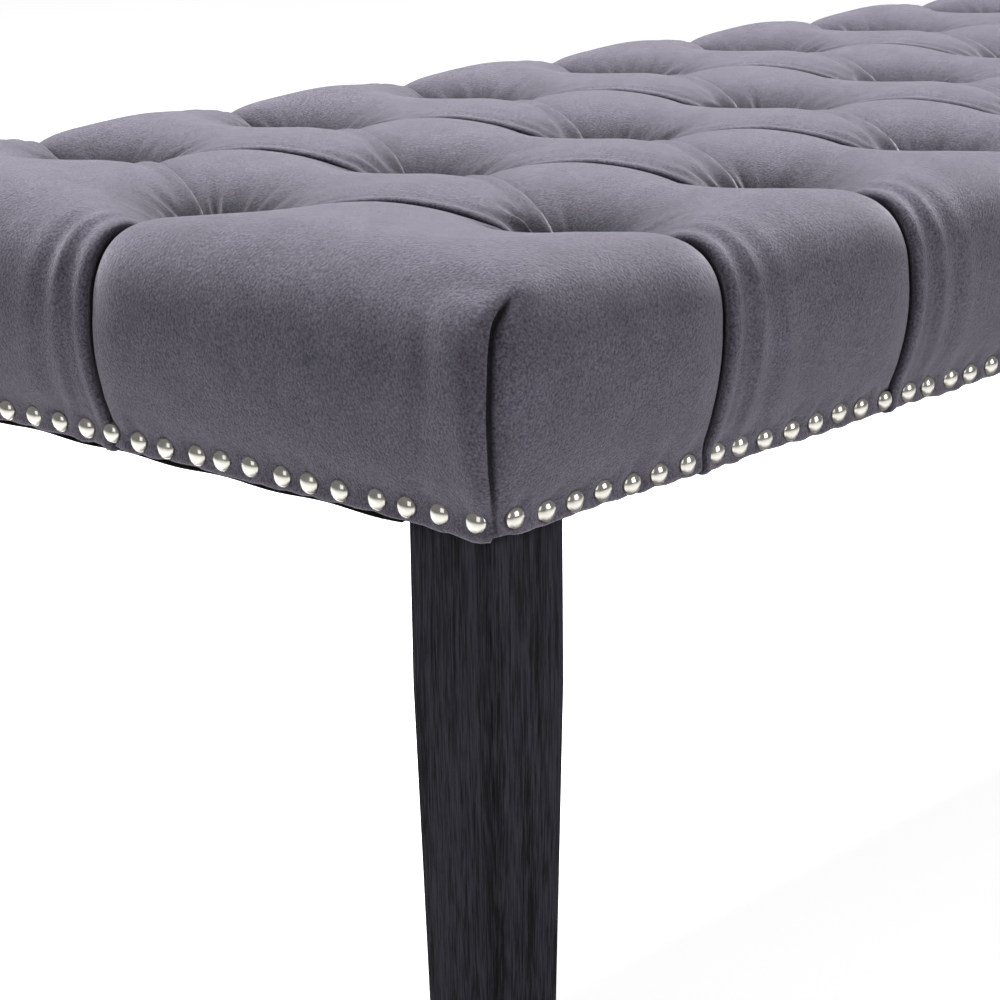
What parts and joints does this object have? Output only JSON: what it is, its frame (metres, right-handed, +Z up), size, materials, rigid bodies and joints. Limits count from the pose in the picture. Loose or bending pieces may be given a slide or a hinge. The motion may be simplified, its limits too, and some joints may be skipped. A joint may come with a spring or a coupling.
{
  "type": "upholstered bench",
  "caption": "Long backless bench with a deep-buttoned velvet seat, rows of domed decorative nails round its lower edge, and square tapered wooden legs.",
  "frame": {"origin": "on the floor, under the middle of the seat", "axes": "+X along the bench's length, +Y towards its back, +Z up; front and back are alike"},
  "size_m": [1.2454, 0.4804, 0.471],
  "materials": {
    "velvet": "short-pile velvet, soft sheen",
    "velvet_button": "the same velvet over a button",
    "wadding": "polyester wadding",
    "foam": "polyurethane foam",
    "twine": "waxed buttoning twine",
    "frame_wood": "sawn softwood",
    "plywood": "birch plywood",
    "leg_wood": "charcoal stain, wire brushed",
    "glide_plastic": "moulded nylon",
    "nail_metal": "polished nickel",
    "black_cloth": "spunbonded black cloth",
    "steel": "zinc plated"
  },
  "bodies": {
    "root": {"velvet_cover": "velvet", "wadding": "wadding", "foam_pad": "foam", "tuft_buttons": "velvet_button", "button_twines": "twine", "twine_toggles": "frame_wood", "seat_deck": "plywood", "front_rail": "frame_wood", "rear_rail": "frame_wood", "left_end_rail": "frame_wood", "right_end_rail": "frame_wood", "left_cross_slat": "frame_wood", "right_cross_slat": "frame_wood", "front_left_corner_block": "frame_wood", "front_right_corner_block": "frame_wood", "rear_right_corner_block": "frame_wood", "rear_left_corner_block": "frame_wood", "front_left_leg": "leg_wood", "front_right_leg": "leg_wood", "rear_right_leg": "leg_wood", "rear_left_leg": "leg_wood", "front_left_glide": "glide_plastic", "front_right_glide": "glide_plastic", "rear_right_glide": "glide_plastic", "rear_left_glide": "glide_plastic", "front_nails": "nail_metal", "rear_nails": "nail_metal", "left_nails": "nail_metal", "right_nails": "nail_metal", "dust_cover": "black_cloth", "dust_cover_staples": "steel", "frame_screws": "steel", "deck_screws": "steel", "hanger_bolts": "steel", "tee_nuts": "steel"}
  },
  "joints": []
}
